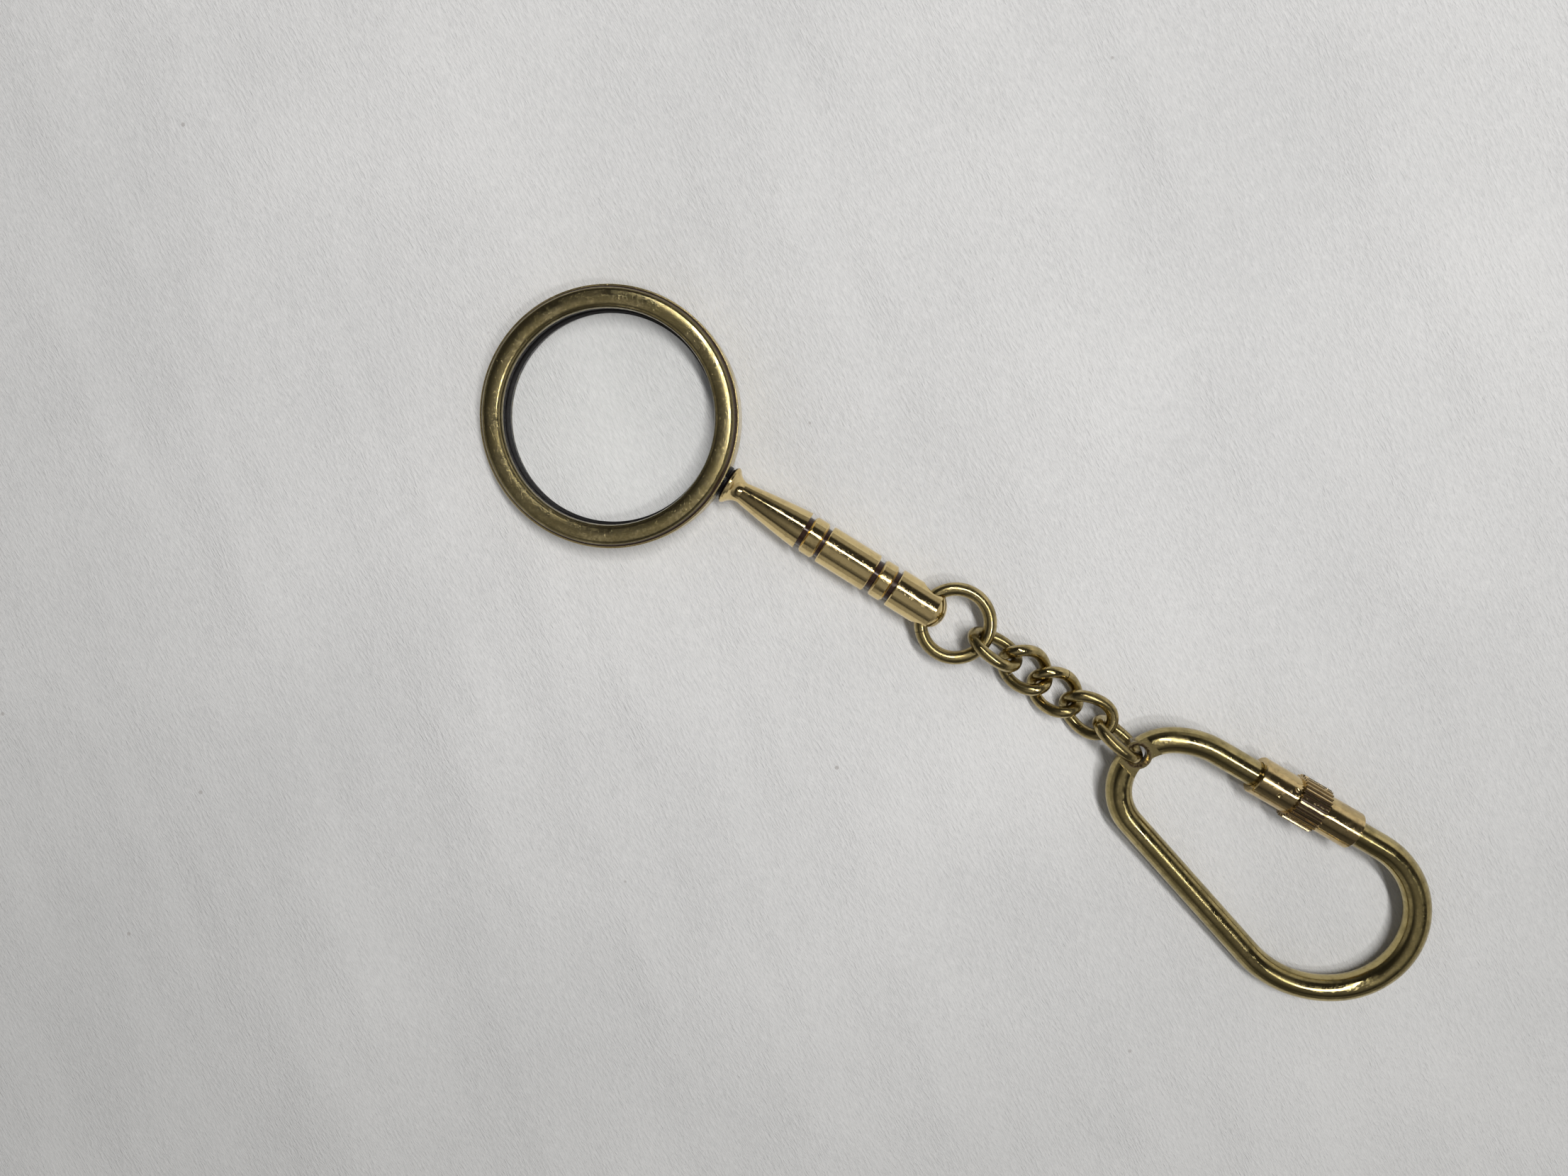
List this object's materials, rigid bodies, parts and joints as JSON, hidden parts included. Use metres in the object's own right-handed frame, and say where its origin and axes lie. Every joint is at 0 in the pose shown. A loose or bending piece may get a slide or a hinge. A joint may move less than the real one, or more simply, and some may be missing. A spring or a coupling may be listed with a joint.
{
  "type": "hand lens",
  "caption": "Brass-framed magnifying hand lens with a turned handle, joined by a jump ring and a short oval-link chain to a bent-rod key ring closed by a knurled screw lock.",
  "frame": {"origin": "on the lens axis, in the plane of the back bezel that the rim lies on", "axes": "+X from the lens along the handle towards the key ring, +Z along the lens axis away from the surface it lies on"},
  "size_m": [0.1384, 0.0336, 0.0062],
  "materials": {
    "rim_brass": "antique brass with an olive patina, satin with fine scratches, brighter on worn crowns",
    "handle_brass": "aged brass, worn bright, with fine turning marks and dark residue in the grooves",
    "stud_brass": "plain turned brass, hidden inside",
    "black_seat": "black, dull, with faint grime",
    "black_saddle": "black, glossy and slightly lumpy",
    "lens_glass": "clear polished glass with a faint green-grey tint",
    "chain_brass": "dark olive-brown patina with bright worn glints",
    "ring_brass": "olive brass, polished by handling, with small dark pits",
    "lock_brass": "bright brass with brown shadows in the ridges and small pits"
  },
  "bodies": {
    "lens_and_handle": {"rim_band": "rim_brass", "front_bezel": "rim_brass", "back_bezel": "rim_brass", "front_seat_ring": "black_seat", "back_seat_ring": "black_seat", "lens": "lens_glass", "saddle_washer": "black_saddle", "handle_stud": "stud_brass", "handle": "handle_brass"},
    "jump_ring": {"jump_ring": "chain_brass"},
    "chain_link_1": {"chain_link_1": "chain_brass"},
    "chain_link_2": {"chain_link_2": "chain_brass"},
    "chain_link_3": {"chain_link_3": "chain_brass"},
    "chain_link_4": {"chain_link_4": "chain_brass"},
    "chain_link_5": {"chain_link_5": "chain_brass"},
    "key_ring": {"key_ring_rod": "ring_brass", "lock_spigot": "lock_brass", "lock_ferrule": "lock_brass"},
    "guide_tube": {"guide_tube": "lock_brass"},
    "lock_nut": {"lock_nut": "lock_brass"}
  },
  "joints": [
    {"name": "jump_ring_swing", "type": "hinge", "parent": "lens_and_handle", "child": "jump_ring", "pos_m": [0.04645, 0.0001, 0.0031], "axis": [-0.2079, 0.9781, 0], "range_deg": [-75, 75]},
    {"name": "link_1_swing", "type": "hinge", "parent": "jump_ring", "child": "chain_link_1", "pos_m": [0.05461, 0.00075, 0.00289], "axis": [0.0365, 0.9993, -0.0064], "range_deg": [-75, 75]},
    {"name": "link_2_swing", "type": "hinge", "parent": "chain_link_1", "child": "chain_link_2", "pos_m": [0.05935, 0.00087, 0.00268], "axis": [-0.0532, 0.5369, -0.842], "range_deg": [-65, 65]},
    {"name": "link_3_swing", "type": "hinge", "parent": "chain_link_2", "child": "chain_link_3", "pos_m": [0.0641, 0.00057, 0.00191], "axis": [0.0395, -0.7163, 0.6967], "range_deg": [-27, 27]},
    {"name": "link_4_swing", "type": "hinge", "parent": "chain_link_3", "child": "chain_link_4", "pos_m": [0.06891, 0.00019, 0.00198], "axis": [0.0344, 0.7001, -0.7132], "range_deg": [-60, 50]},
    {"name": "link_5_swing", "type": "hinge", "parent": "chain_link_4", "child": "chain_link_5", "pos_m": [0.07366, 0.00008, 0.00288], "axis": [0, 1, 0], "range_deg": [-35, 60]},
    {"name": "key_ring_swing", "type": "hinge", "parent": "chain_link_5", "child": "key_ring", "pos_m": [0.07839, -0.00109, 0.00304], "axis": [0.0501, 0.305, -0.951], "range_deg": [-20, 14]},
    {"name": "lock_slide", "type": "slide", "parent": "key_ring", "child": "guide_tube", "axis": [0.9995, 0.0288, -0.015], "range_m": [-0.005, 0]},
    {"name": "lock_turn", "type": "hinge", "parent": "guide_tube", "child": "lock_nut", "pos_m": [0.09714, 0.00492, 0.00312], "axis": [0.9995, 0.0288, -0.015], "range_deg": [-2572, 0]}
  ],
  "couplings": [
    {"joint": "lock_turn", "follows": "lock_slide", "rad_per_m": 8976}
  ]
}
